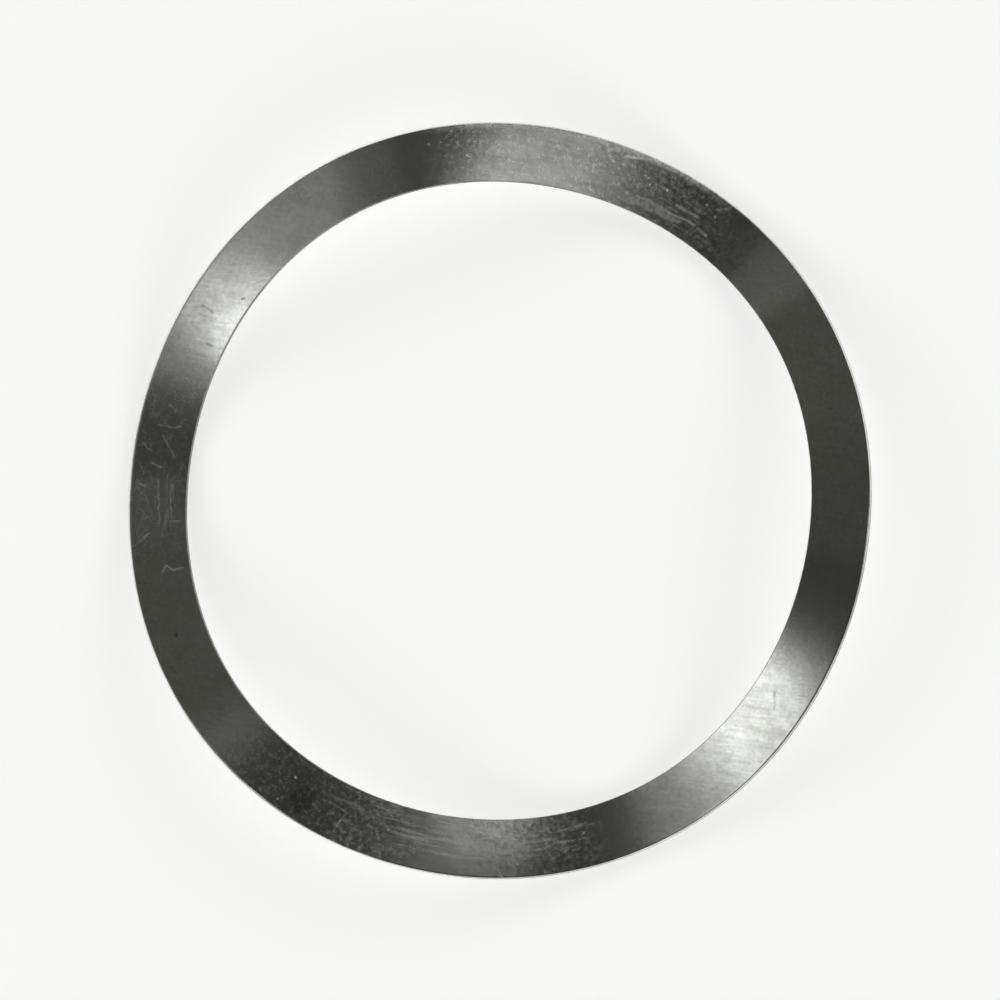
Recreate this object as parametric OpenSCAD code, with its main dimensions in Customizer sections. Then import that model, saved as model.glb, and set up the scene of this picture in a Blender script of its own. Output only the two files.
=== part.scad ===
// Wave washer: a flat ring blanked from spring steel sheet and pressed into waves.
// It lies on its low lines at z = 0, with its axis along Z and one crest along +X.

/* [Ring] */
// Outside diameter
outside_d = 61.2; // [45:0.1:90]
// Width of the ring, from its outside edge to its bore
ring_w = 4.8; // [3:0.1:8]
// Thickness of the sheet, square to its own face
sheet_t = 0.6; // [0.3:0.05:1.2]
// Rounding along the blanked edges, on both faces
edge_r = 0.1; // [0.02:0.01:0.2]

/* [Waves] */
// Number of waves round the ring
waves = 3; // [2:1:6]
// Height of the washer when nothing presses on it
free_h = 4.9; // [2:0.1:8]

/* [Hidden] */

// Steps of the sweep in one wave, and round the whole ring
wave_steps = 60;
sweep_steps = waves * wave_steps;
// Flats that stand for the quarter round of an edge
edge_steps = 2;
// How far the swept sheet runs past its two walls, which the blanking takes off
blanking_waste = 0.03;
// How far the blanking punch and die reach above and below the washer
punch_reach = 1;
// Facets of the round walls
wall_facets = 180;

outside_r = outside_d / 2;
bore_r = outside_r - ring_w;
// The rounding leaves at least a third of the wall's height straight
edge_round_r = min(edge_r, sheet_t / 3);
// A flat step lies across each crest and low line, so the washer bears on flats at its full height
flat_step_share = cos(180 / wave_steps);
amplitude = (free_h - sheet_t) / 2 / flat_step_share;

// Height of the middle of the sheet at an angle round the axis
function wave_z(angle) = free_h / 2 + amplitude * cos(waves * angle);

// Slope of the sheet along the circle of a radius: the same wave is steeper at the bore
function wave_slope(radius, angle) = -waves * amplitude * sin(waves * angle) / radius;

// Direction square to the sheet
function sheet_normal(radius, angle) =
    let (slope = wave_slope(radius, angle))
    [slope * sin(angle), -slope * cos(angle), 1] / norm([slope, 1]);

// Point of the sheet at a radius and an angle, raised off the middle along the normal
function sheet_point(radius, angle, raise) =
    [radius * cos(angle), radius * sin(angle), wave_z(angle)] + raise * sheet_normal(radius, angle);

// Upper edge of a wall as radius and height off the middle: a quarter round from the face
// to the wall, whose last flat runs on into the waste. side is 1 outside and -1 at the bore.
function upper_edge(wall_r, side) =
    let (
        quarter = [for (i = [0 : edge_steps])
            let (turn = 90 * i / edge_steps)
            [
                wall_r - side * edge_round_r * (1 - sin(turn)),
                sheet_t / 2 - edge_round_r * (1 - cos(turn))
            ]],
        wall_end = quarter[edge_steps],
        last_flat = wall_end - quarter[edge_steps - 1]
    )
    [
        for (i = [0 : edge_steps - 1]) quarter[i],
        wall_end + last_flat * blanking_waste / norm(last_flat)
    ];

function reversed(points) = [for (i = [len(points) - 1 : -1 : 0]) points[i]];

// Both edges of a wall, from the upper face to the lower
function wall_edges(wall_r, side) =
    let (upper = upper_edge(wall_r, side))
    concat(upper, [for (spot = reversed(upper)) [spot.x, -spot.y]]);

// Section of the sheet with its four rounded edges
section = concat(wall_edges(outside_r, 1), reversed(wall_edges(bore_r, -1)));
section_points = len(section);

// Index of a swept point
function swept(step, spot) =
    (step % sweep_steps) * section_points + spot % section_points;

// The section swept round the axis along the waves
module wavy_sheet() {
    points = [
        for (step = [0 : sweep_steps - 1], spot = section)
            sheet_point(spot.x, 360 * (step + 0.5) / sweep_steps, spot.y)
    ];
    faces = [
        for (step = [0 : sweep_steps - 1], spot = [0 : section_points - 1])
            each [
                [swept(step, spot), swept(step, spot + 1), swept(step + 1, spot + 1)],
                [swept(step, spot), swept(step + 1, spot + 1), swept(step + 1, spot)]
            ]
    ];
    polyhedron(points, faces, convexity = 2 * waves);
}

// Ring between the true round walls of the blanking punch and die
module blanked_ring() {
    difference() {
        translate([0, 0, -punch_reach])
            cylinder(r = outside_r, h = free_h + 2 * punch_reach, $fn = wall_facets);
        translate([0, 0, -2 * punch_reach])
            cylinder(r = bore_r, h = free_h + 4 * punch_reach, $fn = wall_facets);
    }
}

module wave_washer() {
    color([0.60, 0.61, 0.59])
        intersection() {
            wavy_sheet();
            blanked_ring();
        }
}

wave_washer();
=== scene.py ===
"""Wave washer: the pressed ring with its edges and steel finish, and a small studio round it."""

import math
from functools import reduce

import bmesh
import bpy
from mathutils import Matrix, Quaternion, Vector


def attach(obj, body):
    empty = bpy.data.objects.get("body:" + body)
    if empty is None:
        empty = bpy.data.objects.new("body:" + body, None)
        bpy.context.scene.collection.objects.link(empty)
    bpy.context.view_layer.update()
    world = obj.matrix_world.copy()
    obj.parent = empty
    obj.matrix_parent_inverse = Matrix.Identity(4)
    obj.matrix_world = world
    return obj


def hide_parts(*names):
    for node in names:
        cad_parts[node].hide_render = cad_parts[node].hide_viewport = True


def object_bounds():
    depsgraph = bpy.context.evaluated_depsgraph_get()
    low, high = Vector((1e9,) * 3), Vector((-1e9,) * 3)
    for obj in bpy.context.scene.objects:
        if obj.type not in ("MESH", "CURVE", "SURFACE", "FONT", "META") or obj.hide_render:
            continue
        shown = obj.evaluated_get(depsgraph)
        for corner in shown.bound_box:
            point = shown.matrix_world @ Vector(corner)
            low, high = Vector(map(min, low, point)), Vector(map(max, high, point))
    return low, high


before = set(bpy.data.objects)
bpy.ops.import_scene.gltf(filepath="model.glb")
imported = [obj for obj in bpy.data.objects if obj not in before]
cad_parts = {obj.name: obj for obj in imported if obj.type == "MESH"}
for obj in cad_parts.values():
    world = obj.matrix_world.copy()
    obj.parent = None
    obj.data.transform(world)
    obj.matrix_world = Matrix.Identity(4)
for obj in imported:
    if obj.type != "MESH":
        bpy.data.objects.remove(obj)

bl_info = {
    "name": "Wave washer",
    "version": (1, 0, 0),
    "blender": (4, 5, 0),
    "location": "3D View > Sidebar > Washer",
    "description": "Models a pressed wave washer in spring steel and lights it",
    "category": "Mesh",
}

CAD_LOW, CAD_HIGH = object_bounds()
CAD_RADII = [Vector(v.co[:2]).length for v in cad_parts["wave_washer"].data.vertices]
MM = 0.001
MICRON = 1e-6


class Wire:
    """An output of a material's nodes that can be used in formulas."""

    def __init__(self, tree, socket=None):
        self.tree = tree
        self.socket = socket

    def node(self, kind, settings, sockets, output=0):
        """Adds any node: its settings are set first, then the values or links of its sockets."""
        made = self.tree.nodes.new(kind)
        for name, value in settings.items():
            setattr(made, name, value)
        for key, value in sockets.items():
            if isinstance(value, Wire):
                self.tree.links.new(value.socket, made.inputs[key])
            else:
                made.inputs[key].default_value = value
        return Wire(self.tree, made.outputs[output])

    def math(self, operation, *values):
        return self.node("ShaderNodeMath", {"operation": operation}, dict(enumerate(values)))

    def vector_math(self, operation, *values, output=0):
        settings = {"operation": operation}
        return self.node("ShaderNodeVectorMath", settings, dict(enumerate(values)), output)

    def __add__(self, other):
        return self.math("ADD", self, other)

    __radd__ = __add__

    def __sub__(self, other):
        return self.math("SUBTRACT", self, other)

    def __rsub__(self, other):
        return self.math("SUBTRACT", other, self)

    def __mul__(self, other):
        return self.math("MULTIPLY", self, other)

    __rmul__ = __mul__

    def __truediv__(self, other):
        return self.math("DIVIDE", self, other)

    def __abs__(self):
        return self.math("ABSOLUTE", self)

    def root(self):
        return self.math("SQRT", self)

    def most(self, other):
        return self.math("MAXIMUM", self, other)

    def least(self, other):
        return self.math("MINIMUM", self, other)

    def between(self, low, high):
        """0 below low, 1 above high and a smooth step between them; high may be the lower one."""
        settings = {"interpolation_type": "SMOOTHSTEP"}
        return self.node("ShaderNodeMapRange", settings, {0: self, 1: low, 2: high})

    def parts(self):
        """The three numbers of a vector."""
        split = self.node("ShaderNodeSeparateXYZ", {}, {0: self})
        return [Wire(self.tree, socket) for socket in split.socket.node.outputs]

    def placed(self, turn=0.0, scale=(1, 1, 1), shift=(0, 0, 0)):
        """A vector turned about Z, scaled and shifted."""
        sockets = {"Vector": self, "Rotation": (0, 0, turn), "Scale": scale, "Location": shift}
        return self.node("ShaderNodeMapping", {"vector_type": "POINT"}, sockets)

    def noise(self, scale, detail, roughness):
        sockets = {"Vector": self, "Scale": scale, "Detail": detail, "Roughness": roughness}
        return self.node("ShaderNodeTexNoise", {}, sockets)

    def tint(self, first, second):
        """A colour from first, where this is 0, to second, where it is 1."""
        return self.node("ShaderNodeMix", {"data_type": "RGBA"}, {0: self, 6: first, 7: second}, 2)


def strongest(values):
    """The highest of some values at every place."""
    return reduce(Wire.most, values)


def nearest(gaps):
    """The lowest of some distances at every place."""
    return reduce(Wire.least, gaps)


def marked(gaps, reach):
    """The strongest of some marks, each given as the distance from it and its strength."""
    return strongest([strength * gap.between(*reach) for gap, strength in gaps])


def colour(values):
    """A colour socket's value, with full alpha."""
    return (*values, 1.0)


class RingSettings(bpy.types.PropertyGroup):
    """Sizes of the pressed ring."""

    outside_r: bpy.props.FloatProperty(
        name="Outside radius",
        description="Radius of the ring's outside wall",
        default=max(CAD_RADII),
        unit="LENGTH",
    )
    bore_r: bpy.props.FloatProperty(
        name="Bore radius",
        description="Radius of the ring's bore",
        default=min(CAD_RADII),
        unit="LENGTH",
    )
    free_h: bpy.props.FloatProperty(
        name="Free height",
        description="Height over the crests when nothing presses on the washer",
        default=CAD_HIGH.z - CAD_LOW.z,
        unit="LENGTH",
    )
    sheet_t: bpy.props.FloatProperty(
        name="Sheet thickness",
        description="Thickness of the spring steel sheet",
        default=0.6 * MM,
        unit="LENGTH",
    )
    waves: bpy.props.IntProperty(
        name="Waves",
        description="Number of waves round the ring",
        default=3,
        min=2,
        max=8,
    )
    roll_over: bpy.props.FloatProperty(
        name="Roll over",
        description="Rounding that blanking leaves on the upper outside edge",
        default=0.18 * MM,
        unit="LENGTH",
    )
    burr_edge: bpy.props.FloatProperty(
        name="Burr edge",
        description="Rounding left on the other edges after the burr is taken off",
        default=0.05 * MM,
        unit="LENGTH",
    )
    steps: bpy.props.IntProperty(
        name="Steps",
        description="Mesh steps round the ring",
        default=720,
        min=120,
        max=1440,
    )


class SteelSettings(bpy.types.PropertyGroup):
    """Looks of the spring steel."""

    colour: bpy.props.FloatVectorProperty(
        name="Steel",
        description="Colour of the clean sheet",
        default=(0.68, 0.69, 0.67),
        subtype="COLOR",
        min=0.0,
        max=1.0,
    )
    stain: bpy.props.FloatVectorProperty(
        name="Stain",
        description="Colour of the slightly dull patches",
        default=(0.50, 0.50, 0.465),
        subtype="COLOR",
        min=0.0,
        max=1.0,
    )
    # Also the colour of the shade painted in the darker stretches
    dirt_and_shade: bpy.props.FloatVectorProperty(
        name="Dirt",
        description="Colour of the dark stains and nicks",
        default=(0.20, 0.20, 0.18),
        subtype="COLOR",
        min=0.0,
        max=1.0,
    )
    # Also the colour of the pale band painted along the outside rim as a highlight
    dust_and_sheen: bpy.props.FloatVectorProperty(
        name="Dust",
        description="Colour of the pale specks",
        default=(0.86, 0.86, 0.84),
        subtype="COLOR",
        min=0.0,
        max=1.0,
    )
    # Colour of the painted glints: small points painted a bright metal to stand in for glints of
    # light
    painted_glint: bpy.props.FloatVectorProperty(
        name="Glint",
        description="Colour of the small polished points",
        default=(0.97, 0.97, 0.95),
        subtype="COLOR",
        min=0.0,
        max=1.0,
    )
    roughness: bpy.props.FloatProperty(
        name="Roughness",
        description="Roughness of the rolled sheet",
        default=0.19,
        subtype="FACTOR",
        min=0.0,
        max=1.0,
    )
    grain_turn: bpy.props.FloatProperty(
        name="Rolling direction",
        description="Angle of the rolled grain against the X axis",
        default=math.radians(3.0),
        subtype="ANGLE",
    )


class StageSettings(bpy.types.PropertyGroup):
    """Floor, light and camera."""

    floor: bpy.props.FloatVectorProperty(
        name="Floor",
        description="Colour of the floor and the wall round it",
        default=(0.90, 0.90, 0.90),
        subtype="COLOR",
        min=0.0,
        max=1.0,
    )
    room: bpy.props.FloatVectorProperty(
        name="Room",
        description="Light of the dim room between the lamps",
        default=(0.081, 0.080, 0.069),
        subtype="COLOR",
        min=0.0,
        max=1.0,
    )
    ceiling: bpy.props.FloatVectorProperty(
        name="Ceiling",
        description="Light of the room straight overhead",
        default=(0.058, 0.057, 0.051),
        subtype="COLOR",
        min=0.0,
        max=1.0,
    )
    walls: bpy.props.FloatVectorProperty(
        name="Walls",
        description="Light of the room's pale walls, low down",
        default=(1.6, 1.6, 1.58),
        subtype="COLOR",
        min=0.0,
        max=4.0,
    )
    lamp_level: bpy.props.FloatProperty(
        name="Lamp level",
        description="Factor on the brightness of all lamps",
        default=1.0,
        min=0.0,
        max=10.0,
    )
    lamp_tint: bpy.props.FloatVectorProperty(
        name="Lamp tint",
        description="Colour of the lamps' light",
        default=(0.985, 0.995, 1.0),
        subtype="COLOR",
        min=0.0,
        max=1.0,
    )
    floor_glow: bpy.props.FloatProperty(
        name="Floor glow",
        description="White that the floor shows on top of the light that falls on it",
        default=0.47,
        subtype="FACTOR",
        min=0.0,
        max=1.0,
    )
    azimuth: bpy.props.FloatProperty(
        name="Camera azimuth",
        description="Direction of the camera about the washer's axis",
        default=math.radians(-17.2),
        subtype="ANGLE",
    )
    elevation: bpy.props.FloatProperty(
        name="Camera elevation",
        description="Angle of the camera above the floor",
        default=math.radians(80.9),
        subtype="ANGLE",
    )
    roll: bpy.props.FloatProperty(
        name="Camera roll",
        description="Turn of the camera about its line of sight",
        default=math.radians(-64.5),
        subtype="ANGLE",
    )
    distance: bpy.props.FloatProperty(
        name="Camera distance",
        description="Distance of the camera from the middle of the washer",
        default=0.608,
        unit="LENGTH",
    )
    lens: bpy.props.FloatProperty(
        name="Lens",
        description="Focal length in millimetres, on a 36 mm sensor",
        default=270.7,
        min=10.0,
        max=1000.0,
    )


# Loops of the blank, as shares of the ring's width from its bore, closest at the edges
RING_LOOPS = (0.0125, 0.06, 0.12, 0.24, 0.37, 0.5, 0.63, 0.76, 0.88, 0.945, 1.0)
# Flats that stand for the rounding of a rolled edge and of a sharp one
ROLLED_FLATS, SHARP_FLATS = 5, 2
# How far the points of a rim may lie off their wall, and how close points are merged
RIM_SLACK, MERGE_GAP = 0.02 * MM, 0.001 * MM
# Angle between faces from which an edge is shaded sharp
CREASE = math.radians(50)


def start_mesh(name):
    """The primitive that was just added, named."""
    piece = bpy.context.object
    piece.name = name
    piece.data.name = name
    return piece


def apply_modifier(piece, name, kind, **settings):
    modifier = piece.modifiers.new(name, kind)
    for key, value in settings.items():
        setattr(modifier, key, value)
    bpy.ops.object.modifier_apply(modifier=modifier.name)


def widen(factor):
    """Draws what is selected away from the axis."""
    bpy.ops.transform.resize(value=(factor, factor, 1), center_override=(0, 0, 0))


def select_edges(piece, wanted):
    """In edit mode, selects only the edges whose two ends the test wants."""
    bpy.ops.mesh.select_all(action="DESELECT")
    bpy.context.tool_settings.mesh_select_mode = (False, True, False)
    mesh = bmesh.from_edit_mesh(piece.data)
    found = 0
    for edge in mesh.edges:
        if all(wanted(v.co) for v in edge.verts):
            edge.select_set(True)
            found += 1
    bmesh.update_edit_mesh(piece.data)
    if not found:
        raise RuntimeError("none of the wanted edges were found on " + piece.name)


def pressed_ring(ring):
    """Draws the flat blank out from its bore, presses its waves, thickens it and rounds its edges."""
    bpy.ops.object.select_all(action="DESELECT")
    bpy.ops.mesh.primitive_circle_add(vertices=ring.steps, radius=ring.bore_r, fill_type="NOTHING")
    piece = start_mesh("pressed_ring")
    width = ring.outside_r - ring.bore_r
    bpy.ops.object.mode_set(mode="EDIT")
    bpy.ops.mesh.select_all(action="SELECT")
    radius = ring.bore_r
    for share in RING_LOOPS:
        wider = ring.bore_r + share * width
        bpy.ops.mesh.extrude_edges_move()
        widen(wider / radius)
        radius = wider
    bpy.ops.object.mode_set(mode="OBJECT")

    middle = ring.free_h / 2
    amplitude = (ring.free_h - ring.sheet_t) / 2
    press = piece.vertex_groups.new(name="press")
    for vertex in piece.data.vertices:
        angle = math.atan2(vertex.co.y, vertex.co.x)
        press.add([vertex.index], (1 + math.cos(ring.waves * angle)) / 2, "REPLACE")
    apply_modifier(
        piece,
        "press",
        "DISPLACE",
        vertex_group="press",
        direction="Z",
        strength=2 * amplitude,
        mid_level=0.0,
    )
    piece.vertex_groups.clear()
    bpy.ops.object.mode_set(mode="EDIT")
    bpy.ops.mesh.select_all(action="SELECT")
    bpy.ops.transform.translate(value=(0, 0, middle - amplitude))
    bpy.ops.mesh.normals_make_consistent(inside=False)
    bpy.ops.object.mode_set(mode="OBJECT")
    apply_modifier(
        piece,
        "sheet",
        "SOLIDIFY",
        thickness=ring.sheet_t,
        offset=0.0,
        use_even_offset=True,
        use_quality_normals=True,
    )

    def lift(spot):
        angle = math.atan2(spot.y, spot.x)
        return spot.z - middle - amplitude * math.cos(ring.waves * angle)

    def on_rim(spot, wall_r, side):
        at_wall = abs(Vector(spot[:2]).length - wall_r) < RIM_SLACK
        return at_wall and lift(spot) * side > ring.sheet_t / 4

    bpy.ops.object.mode_set(mode="EDIT")
    rolled, sharp = (ring.roll_over, ROLLED_FLATS), (ring.burr_edge, SHARP_FLATS)
    rims = (
        (ring.outside_r, 1, rolled),
        (ring.outside_r, -1, sharp),
        (ring.bore_r, 1, sharp),
        (ring.bore_r, -1, sharp),
    )
    for wall_r, side, (rounding, segments) in rims:
        select_edges(piece, lambda spot: on_rim(spot, wall_r, side))
        bpy.ops.mesh.bevel(offset=rounding, segments=segments, affect="EDGES")
    bpy.ops.mesh.select_all(action="SELECT")
    bpy.ops.mesh.remove_doubles(threshold=MERGE_GAP)
    bpy.ops.mesh.normals_make_consistent(inside=False)
    bpy.ops.object.mode_set(mode="OBJECT")
    bpy.ops.object.shade_smooth_by_angle(angle=CREASE)
    return piece


# Hairline scratches on the upper face, as points in millimetres from the axis
SCRATCHES = (
    ((-29.97, -2.59), (-29.18, -2.88)),
    ((-29.97, -3.22), (-29.79, -2.68)),
    ((-29.88, 0.70), (-29.13, 0.12)),
    ((-29.02, -0.73), (-28.09, -1.10)),
    ((-28.35, 1.55), (-27.46, 0.50), (-27.13, -0.21)),
    ((-28.80, 2.27), (-27.72, 2.24), (-26.95, 2.41)),
    ((-28.08, 4.09), (-27.48, 3.61)),
    ((-29.31, -7.74), (-28.63, -7.13), (-27.94, -6.54)),
    ((-26.84, -5.49), (-25.69, -5.30)),
    ((-28.06, -2.17), (-27.83, -3.80), (-27.40, -5.73)),
    ((-26.99, -2.52), (-26.77, -4.06), (-26.44, -5.43)),
    ((14.49, 26.60), (14.30, 25.92)),
    ((-8.68, -27.95), (-7.76, -26.59)),
    ((3.25, -26.95), (3.86, -27.83), (4.83, -29.97)),
    ((7.34, -27.47), (8.52, -26.72), (9.91, -26.26)),
    ((9.31, -27.66), (9.69, -26.95), (10.35, -27.01), (10.78, -26.62)),
)
# Small dark nicks on the upper face: their points and how dark they are
NICKS = (
    (((-26.88, 12.17), (-26.40, 12.39)), 0.35),
    (((-26.48, 12.34), (-25.95, 12.21), (-25.48, 11.84)), 0.7),
    (((-26.66, 11.71), (-25.95, 11.48)), 0.35),
    (((-23.06, 13.35), (-22.87, 13.41)), 1.0),
    (((-25.59, 9.32), (-25.25, 9.25)), 0.7),
    (((-24.32, -14.67), (-24.30, -14.47)), 0.9),
    (((24.87, -12.12), (24.85, -13.41)), 0.45),
    (((21.91, -17.37), (21.75, -18.04)), 0.2),
)
# Single specks of pale dust on the upper face, which are painted as glints too where they lie in a
# glint stretch: how pale they are and their places
DUST_AND_GLINTS = (
    (
        0.65,
        (
            (-3.97, 28.46),
        ),
    ),
    (
        0.6,
        (
            (9.83, 26.93), (8.41, 27.13), (-12.53, -24.58), (-1.95, 27.30),
            (-3.65, 25.95), (-3.06, 25.95),
        ),
    ),
    (
        0.55,
        (
            (1.34, 28.33), (3.74, 27.89), (5.24, 28.61), (-0.28, 26.83),
            (2.53, 26.79),
        ),
    ),
    (
        0.5,
        (
            (13.21, 26.18), (10.80, -25.51), (0.44, 29.00),
        ),
    ),
    (
        0.4,
        (
            (14.01, 25.28), (-4.57, -27.59),
        ),
    ),
    (
        0.35,
        (
            (-13.68, -26.48), (-7.84, 29.02), (-9.51, 27.70),
        ),
    ),
)
# Soft straight rubs: their points, half of their width in millimetres, how strongly they are worn
# and how pale they are
STREAKS = (
    (((5.16, 25.95), (6.09, 25.90), (8.27, 25.45)), 0.42, 0.7, 0.06),
    (((7.58, 26.08), (9.59, 25.45)), 0.22, 0.8, 0.08),
    (((8.30, 25.30), (11.06, 24.50)), 0.36, 0.8, 0.06),
    (((9.71, 25.32), (12.49, 24.47)), 0.22, 1.0, 0.12),
    (((10.75, 25.84), (12.60, 25.07)), 0.20, 0.9, 0.12),
    (((11.52, 26.15), (12.86, 25.41)), 0.18, 0.5, 0.05),
    (((12.80, 24.16), (13.43, 23.75)), 0.25, 0.9, 0.15),
    (((14.09, 25.99), (15.12, 26.13)), 0.24, 0.6, 0.10),
    (((6.13, 29.08), (8.03, 29.20)), 0.22, 0.6, 0.80),
    (((4.75, 29.54), (5.55, 29.61)), 0.30, 0.6, 0.80),
    (((-13.50, -24.31), (-13.63, -23.15), (-13.20, -22.76)), 0.24, 0.25, 0.03),
    (((-12.45, -23.04), (-10.91, -23.73)), 0.22, 0.5, 0.03),
    (((-10.17, -25.45), (-7.13, -26.09)), 0.24, 0.5, 0.03),
    (((-9.41, -27.07), (-9.05, -27.04)), 0.20, 0.6, 0.12),
    (((-26.46, -9.53), (-26.23, -9.03), (-25.51, -9.24), (-24.87, -9.06)), 0.16, 0.6, 0.10),
)
# Dark stains: place and radius in millimetres, and how dark they are
STAINS = (
    ((-11.7, -26.2), 1.3, 0.8),
    ((-12.1, -25.2), 0.7, 0.6),
    ((15.8, 25.3), 1.1, 0.35),
)
# Scuffed patches: place and radius in millimetres
SCUFFS = (((1.6, -26.7), 1.1),)
# Stretches rubbed round the ring: middle and half of the angle in degrees, middle and half of the
# width in millimetres, length and pitch of the streaks in millimetres, and how strongly they are worn
RUBBED = (
    (69, 9, 27.6, 1.3, 3.0, 0.27, 0.7),
    (261, 12, 27.4, 1.7, 3.0, 0.22, 0.75),
    (284, 9, 27.8, 1.0, 2.4, 0.30, 1.2),
    (188, 6, 27.3, 0.9, 2.0, 0.24, 0.7),
)
# Stretches with speckles, each as the middle and half of its angle in degrees, as all those below
SPECKLED = ((84, 25), (248, 15), (284, 9))
# Stretches with many small dark pits and with pale wear between them
PITTED = ((64, 12), (248, 15), (284, 9))
# Stretches where small points are painted a bright metal as glints
PAINTED_GLINTS = ((90, 15),)
# Stretches with a web of hairlines
WEB = ((182, 17),)
# Stretches that are painted slightly dark; the one at 351 degrees is painted shade, the darker
# reflection beside a crest
DARKER_STRETCHES = ((243, 6), (351, 5), (176, 4))
# Stretches with a softer gloss
HAZY = ((120, 4), (47, 3))
# Stretches where a pale band is painted along the outside rim as the highlight of its rolled edge
RIM_HIGHLIGHT = ((84, 20),)
# Stretches where the outer part of the face is darker
DARKER_OUTSIDE = ((281, 9),)
# Uneven pressing: waves round the ring, cosine and sine of their height in microns, and of their
# tilt across the ring in microns for each millimetre
UNEVEN = (
    (0, 0.0, 0.0, 9.4, 0.0),
    (1, 8.0, 1.0, -8.4, -1.3),
    (2, 26.0, 15.0, 9.1, 10.8),
    (3, 0.0, 0.0, 9.2, -7.6),
    (4, -3.0, -30.0, -2.5, -3.2),
    (5, -69.0, 39.0, -12.7, 17.5),
    (6, 16.0, 36.0, 0.0, 0.0),
    (7, -41.0, 37.0, 0.0, 0.0),
    (8, 29.0, -43.0, 0.0, 0.0),
)


# Distances from a mark, in millimetres, at which it begins and is full
SCRATCH_REACH, NICK_REACH, DUST_AND_GLINT_REACH = (0.14, 0.0), (0.17, 0.03), (0.15, 0.02)
# Softness of the edges of rubbed stretches, stains and scuffs, in millimetres either way
RUB_FADE, STAIN_FADE, SCUFF_FADE = 0.4, 0.5, 0.8
# How far lines wander, in millimetres, and the scale of that wandering
SCRATCH_WANDER, NICK_WANDER, RUB_WANDER, WANDER_SCALE = 0.6, 0.4, 0.3, 1.1
# Distances from the radius of a wall, in millimetres, at which its looks begin and are full
OUTSIDE_WALL, BORE_WALL = (0.015, 0.005), (0.07, 0.03)
# Radii in millimetres at which the painted rim highlight and the darker outer part begin and are full
RIM_HIGHLIGHT_BAND, DARKER_OUTSIDE_BAND = (29.9, 30.45), (27.2, 30.2)
# Heights over the middle of the sheet, in millimetres, at which the upper face begins and is full
UPPER_BAND = (0.1, 0.2)
# Levels of the noise at which the streaks of a rub and the lines of the web begin and are full
RUB_LEVELS, WEB_LEVELS = (0.46, 0.80), (0.022, 0.003)
# Turn of the blotches against the X axis, in radians
MOTTLE_TURN = 0.7
# Least half angle, in degrees, of the full part of a stretch
STRETCH_CORE = 1.0
# Height of the torn surface of the walls, in microns
TORN_H = 14.0
# Tint of the metal at grazing angles
EDGE_TINT = (0.75, 0.75, 0.75)


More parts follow.
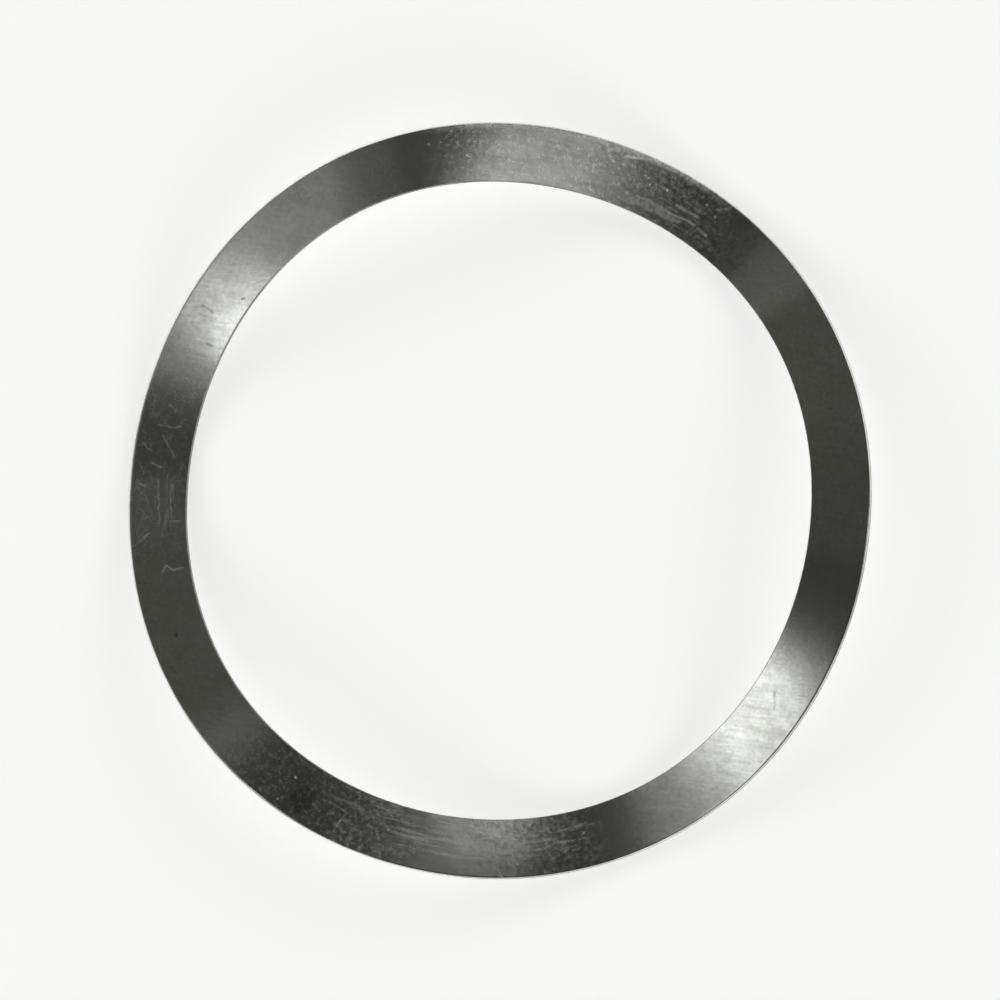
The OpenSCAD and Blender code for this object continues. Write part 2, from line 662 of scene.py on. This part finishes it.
class Sheet:
    """Places on the pressed sheet in millimetres, for the formulas of its material."""

    def __init__(self, tree, ring):
        self.new = Wire(tree)
        metres = self.new.node("ShaderNodeTexCoord", {}, {}, "Object")
        self.x, self.y, z = metres.placed(scale=(1 / MM, 1 / MM, 1 / MM)).parts()
        self.radius = (self.x * self.x + self.y * self.y).root()
        self.angle = self.x.math("ARCTAN2", self.y, self.x)
        self.run, self.rise = self.x / self.radius, self.y / self.radius
        self.outside_r, self.bore_r = ring.outside_r / MM, ring.bore_r / MM
        self.mid_r = (self.outside_r + self.bore_r) / 2
        amplitude = (ring.free_h - ring.sheet_t) / 2 / MM
        wave = self.angle.math("COSINE", self.angle * ring.waves)
        self.lift = z - ring.free_h / 2 / MM - amplitude * wave
        self.flat = self.spot(self.x, self.y, 0.0)
        self.place = self.spot(self.x, self.y, self.lift)
        sockets = {"Vector": self.place, "Scale": WANDER_SCALE}
        drift = self.new.node("ShaderNodeTexNoise", {}, sockets, "Color")
        self.drift = drift.vector_math("SUBTRACT", drift, (0.5, 0.5, 0.5))
        self.wandered = {}

    def spot(self, x, y, z):
        return self.new.node("ShaderNodeCombineXYZ", {}, {0: x, 1: y, 2: z})

    def outside_wall(self):
        return self.radius.between(*(self.outside_r - depth for depth in OUTSIDE_WALL))

    def bore_wall(self):
        return self.radius.between(*(self.bore_r + depth for depth in BORE_WALL))

    def stretch(self, spots, fade=5.0):
        """1 in stretches round the ring, fading by some degrees either way at their ends."""
        found = []
        for angle, half in spots:
            turn = math.radians(angle)
            facing = self.run * math.cos(turn) + self.rise * math.sin(turn)
            ends = (half + fade, max(half - fade, STRETCH_CORE))
            found.append(facing.between(*(math.cos(math.radians(end)) for end in ends)))
        return strongest(found)

    def grain(self, turn, length, pitch):
        """Streaks along the rolling direction, about 0."""
        place = self.place.placed(-turn, (1 / length, 1 / pitch, 3.0))
        return place.noise(scale=1.0, detail=2.0, roughness=0.6) - 0.5

    def mottle(self, scale, detail, roughness, shift):
        """Shapeless blotches, about 0. Another shift gives other blotches."""
        place = self.place.placed(turn=MOTTLE_TURN, shift=(shift, shift / 3, 0))
        return place.noise(scale, detail, roughness) - 0.5

    def rubbed(self):
        """Streaks that run round the ring, in the stretches where it was rubbed."""
        found = []
        for angle, half, middle_r, half_w, length, pitch, wear in RUBBED:
            turn = self.mid_r / length
            rows = self.spot(self.run * turn, self.rise * turn, self.radius / pitch + angle)
            streaks = rows.noise(scale=1.0, detail=2.0, roughness=0.55).between(*RUB_LEVELS)
            across = abs(self.radius - middle_r).between(half_w + RUB_FADE, half_w - RUB_FADE)
            found.append(wear * streaks * across * self.stretch(((angle, half),)))
        return strongest(found).least(1.0)

    def wandering(self, wander):
        """The place on the sheet, moved a little to and fro."""
        if wander not in self.wandered:
            by = (wander, wander, 0)
            self.wandered[wander] = self.flat.vector_math("MULTIPLY_ADD", self.drift, by, self.flat)
        return self.wandered[wander]

    def gap_to_lines(self, lines, wander):
        """Distance from the nearest of some lines, which wander a little."""
        flat = self.wandering(wander)
        gaps = []
        for line in lines:
            for start, end in zip(line, line[1:]):
                way = Vector(end) - Vector(start)
                unit = way / way.length_squared
                from_start = flat.vector_math("SUBTRACT", flat, (*start, 0))
                share = flat.vector_math("DOT_PRODUCT", from_start, (*unit, 0), output="Value")
                share = share.node("ShaderNodeClamp", {}, {"Value": share})
                sockets = {0: (*way, 0), "Scale": share}
                reach = share.node("ShaderNodeVectorMath", {"operation": "SCALE"}, sockets)
                gaps.append(flat.vector_math("DISTANCE", from_start, reach, output="Value"))
        return nearest(gaps)

    def gap_to_points(self, *points):
        """Distance from the nearest of some points."""
        gap_to = self.flat.vector_math
        return nearest([gap_to("DISTANCE", self.flat, (*spot, 0), output="Value") for spot in points])

    def streaks(self):
        """How worn and how pale the soft straight rubs are."""
        worn, paled = [], []
        for line, half_w, wear, paleness in STREAKS:
            here = self.gap_to_lines((line,), RUB_WANDER).between(half_w, 0.0)
            worn.append(wear * here)
            paled.append(paleness * here)
        return strongest(worn), strongest(paled)

    def swell(self, level, count, cosine, sine):
        """A level with waves round the ring added, given by their cosine and sine."""
        size, turn = math.hypot(cosine, sine), math.atan2(sine, cosine)
        if not size:
            return level
        if not count:
            return level + cosine
        phase = self.angle.math("MULTIPLY_ADD", self.angle, count, -turn)
        return phase.math("MULTIPLY_ADD", phase.math("COSINE", phase), size, level)

    def uneven(self):
        """Height of the uneven pressing in microns."""
        high = tilt = 0.0
        for count, high_cos, high_sin, tilt_cos, tilt_sin in UNEVEN:
            high = self.swell(high, count, high_cos, high_sin)
            tilt = self.swell(tilt, count, tilt_cos, tilt_sin)
        return tilt.math("MULTIPLY_ADD", tilt, self.radius - self.mid_r, high)


def steel_finish(ring, steel):
    """Rolled spring steel with its grain, dull patches, wear, scratches and sheared walls, with
    painted glints, a painted rim highlight and painted shade in a few stretches.
    """
    material = bpy.data.materials.new("rolled_spring_steel")
    material.use_nodes = True
    tree = material.node_tree
    shader = tree.nodes["Principled BSDF"]
    shader.inputs["Specular Tint"].default_value = colour(EDGE_TINT)
    sheet = Sheet(tree, ring)
    outside, bore = sheet.outside_wall(), sheet.bore_wall()
    wall = outside.most(bore)
    face = 1 - wall
    upper = sheet.lift.between(*UPPER_BAND) * face

    # Grain and blotches of the rolled face
    fine = sheet.grain(steel.grain_turn, length=3.5, pitch=0.26)
    broad = sheet.grain(steel.grain_turn, length=9.0, pitch=0.9)
    cloud = sheet.mottle(scale=0.35, detail=3.0, roughness=0.55, shift=0.0)
    blotch = sheet.mottle(scale=1.1, detail=3.0, roughness=0.6, shift=40.0)
    grit = sheet.mottle(scale=2.7, detail=3.0, roughness=0.6, shift=20.0)
    rag = sheet.mottle(scale=5.0, detail=2.0, roughness=0.6, shift=70.0)
    broken = (rag + 0.8 * blotch).between(-0.20, 0.22)

    # Speckles, pits, specks, dust and painted glints
    speckled = sheet.stretch(SPECKLED, fade=7.0)
    pits = sheet.stretch(PITTED, fade=7.0)
    mottled = grit + 0.5 * rag + 0.3 * blotch
    worn = mottled.between(-0.08, 0.42) * speckled * upper
    pitted = mottled.between(0.12, -0.24) * (0.3 * speckled).most(0.6 * pits) * upper
    specks = (grit + 0.3 * blotch).between(0.18, 0.45) * face
    crumbled = 0.4 * rag
    dust_and_sheen = [(sheet.gap_to_points(*points) + crumbled, paleness) for paleness, points in DUST_AND_GLINTS]
    dust_and_glints = marked(dust_and_sheen, DUST_AND_GLINT_REACH) * upper
    # Painted glints: noise points and the dust specks in the glint stretches, painted a bright metal
    # so that they shine like glints
    glinting = (grit + 0.7 * rag).between(0.06, 0.28).most(1.5 * dust_and_glints)
    glinting = glinting * sheet.stretch(PAINTED_GLINTS, fade=7.0) * upper

    # Rubs, scratches and nicks
    streaked, paled = sheet.streaks()
    rubbed = sheet.rubbed().most(streaked) * (0.6 + 0.4 * broken) * upper
    paled = paled * (0.5 + 0.5 * broken) * upper
    # A pale band painted along the outside rim as the highlight of its rolled edge
    rim = sheet.radius.between(*RIM_HIGHLIGHT_BAND) * sheet.stretch(RIM_HIGHLIGHT, fade=8.0)
    rim = rim * (0.4 + 0.6 * broken) * upper
    wide_web = sheet.mottle(scale=0.55, detail=2.0, roughness=0.5, shift=11.0)
    close_web = sheet.mottle(scale=0.75, detail=2.0, roughness=0.5, shift=23.0)
    web = abs(wide_web).least(abs(close_web)).between(*WEB_LEVELS) * sheet.stretch(WEB)
    scratched = (sheet.gap_to_lines(SCRATCHES, SCRATCH_WANDER) + 0.10 * rag).between(*SCRATCH_REACH)
    scratched = scratched.most(0.35 * web) * (0.2 + 0.8 * broken) * upper
    ragged = 0.12 * rag
    nicks = [(sheet.gap_to_lines((line,), NICK_WANDER) + ragged, depth) for line, depth in NICKS]
    nicked = marked(nicks, NICK_REACH) * (0.55 + 0.45 * broken) * upper
    scuffs = []
    for point, size in SCUFFS:
        gap = sheet.gap_to_points(point) + 3.0 * blotch
        scuffs.append(gap.between(size + SCUFF_FADE, size - SCUFF_FADE))
    scuffed = strongest(scuffs) * (0.3 + 0.7 * broken) * upper

    # Stains, painted shade, a darker outer part and haze
    darker_outside = sheet.stretch(DARKER_OUTSIDE, fade=6.0) * sheet.radius.between(*DARKER_OUTSIDE_BAND)
    # Stains, with the darker stretches, of which the one at 351 degrees is painted shade, and the
    # darker outer part
    stains = [0.5 * sheet.stretch(DARKER_STRETCHES, fade=6.0), 0.35 * darker_outside, pitted]
    for point, size, depth in STAINS:
        gap = sheet.gap_to_points(point) + 1.2 * blotch
        stains.append(depth * gap.between(size + STAIN_FADE, size - STAIN_FADE))
    stains_and_shade = strongest(stains) * upper
    hazy = sheet.stretch(HAZY, fade=4.0) * upper

    # Colour
    tarnish = cloud + 0.5 * blotch + 0.4 * broad + 0.4 * fine + 0.7 * grit + 0.5 * rag
    # Dark: stains, nicks, the walls and the painted shade
    dark = strongest([stains_and_shade, nicked, 0.4 * outside, 0.5 * bore])
    # Pale: dust specks, wear, and the painted rim highlight
    pale = strongest([dust_and_glints, 0.2 * specks, (0.08 + 0.10 * pits) * worn, 0.6 * rim, paled])
    base = tarnish.between(-0.40, 0.40).tint(colour(steel.colour), colour(steel.stain))
    base = dark.tint(base, colour(steel.dirt_and_shade))
    base = pale.tint(base, colour(steel.dust_and_sheen))
    # Painted glints over all
    base = glinting.tint(base, colour(steel.painted_glint))
    tree.links.new(base.socket, shader.inputs["Base Color"])
    tree.links.new((1 - pale).socket, shader.inputs["Metallic"])

    # Gloss
    wear = strongest([0.9 * rubbed, 0.8 * scratched, 0.6 * scuffed, 0.35 * worn, pale])
    rough = steel.roughness + 0.05 * fine + 0.05 * broad + 0.06 * cloud + 0.08 * blotch
    rough = rough + 0.34 * wear + 0.10 * hazy + 0.18 * outside + 0.6 * bore
    tree.links.new(rough.socket, shader.inputs["Roughness"])

    # Relief in microns
    along_wall = sheet.spot(sheet.x, sheet.y, sheet.lift * 0.15)
    torn = along_wall.noise(scale=7.0, detail=3.0, roughness=0.6) - 0.5
    rolled = 1.3 * fine + 2.6 * broad + 3.0 * cloud + 2.8 * blotch + (1.0 + 1.6 * speckled) * grit
    height = sheet.uneven() + face * rolled + TORN_H * wall * torn
    bump = height.node("ShaderNodeBump", {}, {"Distance": MICRON, "Height": height})
    tree.links.new(bump.socket, shader.inputs["Normal"])
    return material


class WASHER_OT_ring(bpy.types.Operator):
    """Models the pressed ring and gives it its steel"""

    bl_idname = "washer.ring"
    bl_label = "Pressed ring"

    def execute(self, context):
        ring = context.scene.washer_ring
        piece = pressed_ring(ring)
        piece.data.materials.append(steel_finish(ring, context.scene.washer_steel))
        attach(piece, "root")
        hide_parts("wave_washer")
        return {"FINISHED"}


# Name, azimuth, angle off the vertical and turn in degrees, distance and size in metres, brightness
LAMPS = (
    ("window_softbox", -134.8, 32.3, 71.0, 0.9, 0.303, 0.201, 1.53),
    ("window_glow", -161.8, 33.7, -3.0, 0.9, 0.65, 0.65, 0.20),
    ("side_softbox", 6.7, 24.7, 46.0, 0.9, 0.396, 0.163, 1.17),
)


# Floor: radius of its flat and of its sweep up into the wall in metres, steps of the sweep, facets
FLAT_R, SWEEP_R, SWEEP_STEPS, FLOOR_FACETS = 1.3, 0.3, 8, 96
# Angles off the vertical, in degrees, over which the ceiling turns into the room, and the room
# into its walls
CEILING_ENDS, WALLS_BEGIN = (4, 32), (52, 66)


def direction(azimuth, off_vertical):
    """Unit vector at an azimuth and an angle off the vertical."""
    flat = math.sin(off_vertical)
    return Vector((flat * math.cos(azimuth), flat * math.sin(azimuth), math.cos(off_vertical)))


def studio_floor(stage):
    """A pale floor that runs up into a low wall all round."""
    bpy.ops.object.select_all(action="DESELECT")
    bpy.ops.mesh.primitive_circle_add(vertices=FLOOR_FACETS, radius=FLAT_R, fill_type="NOTHING")
    floor = start_mesh("floor")
    bpy.ops.object.mode_set(mode="EDIT")
    bpy.ops.mesh.select_all(action="SELECT")
    bpy.ops.mesh.edge_face_add()
    select_edges(floor, lambda spot: True)
    radius, height = FLAT_R, 0.0
    for step in range(1, SWEEP_STEPS + 1):
        turn = math.radians(90 * step / SWEEP_STEPS)
        wider = FLAT_R + SWEEP_R * math.sin(turn)
        higher = SWEEP_R * (1 - math.cos(turn))
        bpy.ops.mesh.extrude_edges_move(TRANSFORM_OT_translate={"value": (0, 0, higher - height)})
        widen(wider / radius)
        radius, height = wider, higher
    bpy.ops.object.mode_set(mode="OBJECT")
    bpy.ops.object.shade_smooth()
    material = bpy.data.materials.new("pale_floor")
    material.use_nodes = True
    tree = material.node_tree
    shader = tree.nodes["Principled BSDF"]
    shader.inputs["Base Color"].default_value = colour(stage.floor)
    shader.inputs["Roughness"].default_value = 0.7
    shader.inputs["Emission Strength"].default_value = 1.0
    new = Wire(tree)
    rays = ("Is Camera Ray", "Is Glossy Ray", "Is Transmission Ray")
    seen, glossy, through = (new.node("ShaderNodeLightPath", {}, {}, ray) for ray in rays)
    seen = seen.most(glossy).most(through)
    glow = seen.tint(colour((0, 0, 0)), colour((stage.floor_glow,) * 3))
    tree.links.new(glow.socket, shader.inputs["Emission Color"])
    # Only rays that see the floor meet its glow, so it isn't sampled as a lamp
    material.cycles.emission_sampling = "NONE"
    floor.data.materials.append(material)


def studio_lamps(stage, middle):
    """Soft boxes that face the middle of the washer."""
    for name, azimuth, off_vertical, turn, distance, size, size_y, brightness in LAMPS:
        way = direction(math.radians(azimuth), math.radians(off_vertical))
        bpy.ops.object.light_add(type="AREA", location=middle + way * distance)
        lamp = bpy.context.object
        lamp.name = name
        lamp.rotation_mode = "QUATERNION"
        spin = Quaternion((0, 0, 1), math.radians(turn))
        lamp.rotation_quaternion = way.to_track_quat("Z", "Y") @ spin
        lamp.data.color = stage.lamp_tint
        lamp.data.shape = "RECTANGLE"
        lamp.data.size = size
        lamp.data.size_y = size_y
        lamp.data.energy = math.pi * size * size_y * brightness * stage.lamp_level


def studio_room(stage):
    """A dim room overhead with paler walls low down."""
    world = bpy.data.worlds.new("room")
    world.use_nodes = True
    tree = world.node_tree
    way = Wire(tree).node("ShaderNodeTexCoord", {}, {}, "Generated")
    height = way.parts()[2]
    open_room = height.between(*(math.cos(math.radians(angle)) for angle in CEILING_ENDS))
    low_down = height.between(*(math.cos(math.radians(angle)) for angle in WALLS_BEGIN))
    light = open_room.tint(colour(stage.ceiling), colour(stage.room))
    light = low_down.tint(light, colour(stage.walls))
    tree.links.new(light.socket, tree.nodes["Background"].inputs["Color"])
    bpy.context.scene.world = world


def studio_camera(stage, middle):
    """A long lens almost straight above the washer."""
    back = direction(stage.azimuth, math.pi / 2 - stage.elevation)
    level_right = Vector((0, 0, 1)).cross(back).normalized()
    level_up = back.cross(level_right)
    up = math.cos(stage.roll) * level_up - math.sin(stage.roll) * level_right
    right = up.cross(back)
    bpy.ops.object.camera_add()
    camera = bpy.context.object
    camera.name = "camera"
    turn = Matrix((right, up, back)).transposed().to_4x4()
    camera.matrix_world = Matrix.Translation(middle + back * stage.distance) @ turn
    camera.data.lens = stage.lens
    camera.data.sensor_width = 36.0
    camera.data.shift_x = 0.0036
    camera.data.shift_y = 0.0001
    camera.data.clip_start = 0.01
    camera.data.clip_end = 10.0
    bpy.context.scene.camera = camera


class WASHER_OT_stage(bpy.types.Operator):
    """Sets up the floor, the lamps, the room's light and the camera"""

    bl_idname = "washer.stage"
    bl_label = "Studio"

    def execute(self, context):
        stage = context.scene.washer_stage
        middle = Vector((0, 0, context.scene.washer_ring.free_h / 2))
        studio_floor(stage)
        studio_lamps(stage, middle)
        studio_camera(stage, middle)
        studio_room(stage)
        context.scene.view_settings.view_transform = "Standard"
        return {"FINISHED"}


class WASHER_PT_panel(bpy.types.Panel):
    """Lists the washer's pieces and their settings"""

    bl_idname = "WASHER_PT_panel"
    bl_label = "Wave washer"
    bl_space_type = "VIEW_3D"
    bl_region_type = "UI"
    bl_category = "Washer"

    def draw(self, context):
        groups = (
            (context.scene.washer_ring, "washer.ring"),
            (context.scene.washer_steel, None),
            (context.scene.washer_stage, "washer.stage"),
        )
        for settings, operator in groups:
            box = self.layout.box()
            for name in settings.bl_rna.properties.keys():
                if name not in ("rna_type", "name"):
                    box.prop(settings, name)
            if operator:
                box.operator(operator)


CLASSES = (
    RingSettings,
    SteelSettings,
    StageSettings,
    WASHER_OT_ring,
    WASHER_OT_stage,
    WASHER_PT_panel,
)


def register():
    for item in CLASSES:
        bpy.utils.register_class(item)
    bpy.types.Scene.washer_ring = bpy.props.PointerProperty(type=RingSettings)
    bpy.types.Scene.washer_steel = bpy.props.PointerProperty(type=SteelSettings)
    bpy.types.Scene.washer_stage = bpy.props.PointerProperty(type=StageSettings)


def unregister():
    del bpy.types.Scene.washer_stage
    del bpy.types.Scene.washer_steel
    del bpy.types.Scene.washer_ring
    for item in reversed(CLASSES):
        bpy.utils.unregister_class(item)


def main():
    register()
    bpy.ops.washer.ring()
    bpy.ops.washer.stage()


if __name__ == "__main__":
    main()
